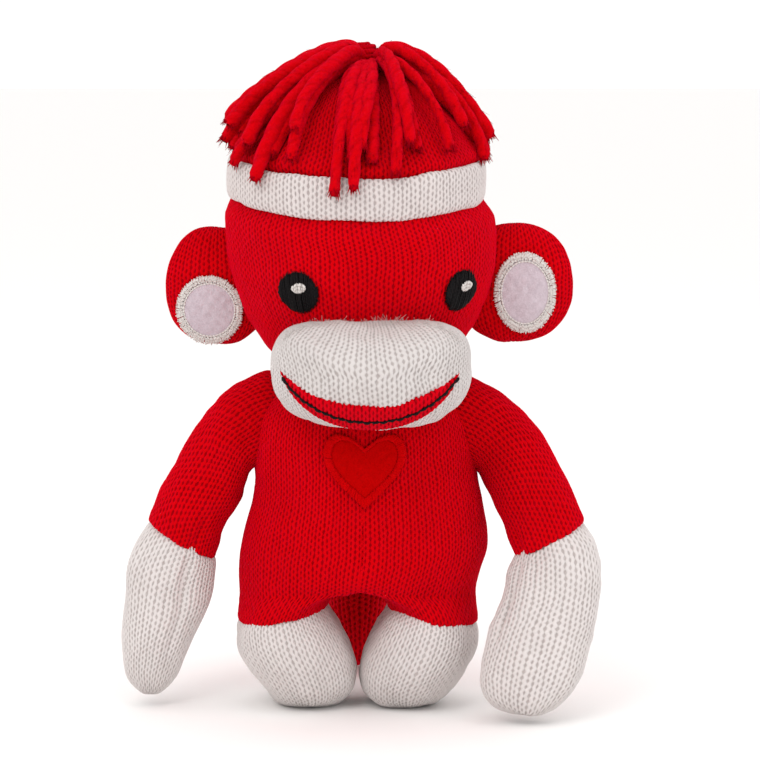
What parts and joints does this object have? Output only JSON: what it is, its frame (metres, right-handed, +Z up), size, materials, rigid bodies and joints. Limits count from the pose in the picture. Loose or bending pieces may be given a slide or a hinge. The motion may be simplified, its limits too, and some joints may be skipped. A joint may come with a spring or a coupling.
{
  "type": "stuffed monkey",
  "caption": "Small knitted stuffed monkey with a hat, yarn pompom, stitched face, heart patch and soft jointed limbs.",
  "frame": {"origin": "middle of the footprint on the surface it stands on", "axes": "+Z up, the face looks along -Y, the monkey's left hand is towards +X"},
  "size_m": [0.14, 0.1153, 0.1976],
  "materials": {
    "red_knit": "knitted, matt",
    "white_knit": "knitted, matt",
    "red_felt": "felted, matt",
    "red_thread": "satin stitch",
    "red_yarn": "plied wool",
    "black_thread": "satin stitch",
    "white_thread": "satin stitch",
    "white_fleece": "short pile",
    "wadding": "fibre filling"
  },
  "bodies": {
    "torso": {"torso_knit": "red_knit", "torso_wadding": "wadding", "heart_felt": "red_felt", "heart_border": "red_thread"},
    "neck": {"neck_seam": "red_thread"},
    "head": {"head_knit": "red_knit", "head_wadding": "wadding", "hat_cap": "red_knit", "hat_cuff": "white_knit", "pompom_strands": "red_yarn", "pompom_tie": "red_yarn", "muzzle_knit": "white_knit", "muzzle_wadding": "wadding", "lip_patch": "red_knit", "smile_stitch": "black_thread", "eye_right": "black_thread", "eye_left": "black_thread", "eye_glint_right": "white_thread", "eye_glint_left": "white_thread"},
    "ear_right": {"ear_right_knit": "red_knit", "ear_right_wadding": "wadding", "ear_right_patch": "white_fleece", "ear_right_border": "white_thread"},
    "shoulder_right": {"arm_right_seam": "red_thread"},
    "arm_right": {"arm_right_sleeve": "red_knit", "arm_right_hand": "white_knit", "arm_right_wadding": "wadding"},
    "leg_right": {"leg_right_knit": "red_knit", "leg_right_foot": "white_knit", "leg_right_wadding": "wadding"},
    "ear_left": {"ear_left_knit": "red_knit", "ear_left_wadding": "wadding", "ear_left_patch": "white_fleece", "ear_left_border": "white_thread"},
    "shoulder_left": {"arm_left_seam": "red_thread"},
    "arm_left": {"arm_left_sleeve": "red_knit", "arm_left_hand": "white_knit", "arm_left_wadding": "wadding"},
    "leg_left": {"leg_left_knit": "red_knit", "leg_left_foot": "white_knit", "leg_left_wadding": "wadding"},
    "tail": {"tail_knit": "red_knit", "tail_wadding": "wadding"}
  },
  "joints": [
    {"name": "neck_turn", "type": "hinge", "parent": "torso", "child": "neck", "pos_m": [0, 0, 0.098], "axis": [0, 0, 1], "range_deg": [-20, 20], "stiffness_Nm_per_rad": 0.15},
    {"name": "neck_nod", "type": "hinge", "parent": "neck", "child": "head", "pos_m": [0, 0, 0.098], "axis": [1, 0, 0], "range_deg": [-6, 6], "stiffness_Nm_per_rad": 0.2},
    {"name": "ear_right_fold", "type": "hinge", "parent": "head", "child": "ear_right", "pos_m": [-0.0386, 0.002, 0.124], "axis": [-0.309, 0, 0.9511], "range_deg": [-20, 8], "stiffness_Nm_per_rad": 0.004},
    {"name": "ear_left_fold", "type": "hinge", "parent": "head", "child": "ear_left", "pos_m": [0.0386, 0.002, 0.124], "axis": [0.309, 0, 0.9511], "range_deg": [-8, 20], "stiffness_Nm_per_rad": 0.004},
    {"name": "arm_right_lift", "type": "hinge", "parent": "torso", "child": "shoulder_right", "pos_m": [-0.0334, 0, 0.093], "axis": [0, 1, 0], "range_deg": [0, 40], "stiffness_Nm_per_rad": 0.03},
    {"name": "arm_right_swing", "type": "hinge", "parent": "shoulder_right", "child": "arm_right", "pos_m": [-0.0339, 0, 0.082], "axis": [-1, 0, 0], "range_deg": [-40, 75], "stiffness_Nm_per_rad": 0.03},
    {"name": "arm_left_lift", "type": "hinge", "parent": "torso", "child": "shoulder_left", "pos_m": [0.0334, 0, 0.093], "axis": [0, -1, 0], "range_deg": [0, 40], "stiffness_Nm_per_rad": 0.03},
    {"name": "arm_left_swing", "type": "hinge", "parent": "shoulder_left", "child": "arm_left", "pos_m": [0.0339, 0, 0.082], "axis": [-1, 0, 0], "range_deg": [-12, 55], "stiffness_Nm_per_rad": 0.03},
    {"name": "hip_right", "type": "hinge", "parent": "torso", "child": "leg_right", "pos_m": [-0.0182, -0.001, 0.03], "axis": [-1, 0, 0], "range_deg": [-20, 35], "stiffness_Nm_per_rad": 0.15},
    {"name": "hip_left", "type": "hinge", "parent": "torso", "child": "leg_left", "pos_m": [0.0182, -0.001, 0.03], "axis": [-1, 0, 0], "range_deg": [-20, 35], "stiffness_Nm_per_rad": 0.15},
    {"name": "tail_lift", "type": "hinge", "parent": "torso", "child": "tail", "pos_m": [0, 0.0334, 0.046], "axis": [1, 0, 0], "range_deg": [0, 85], "stiffness_Nm_per_rad": 0.02}
  ]
}
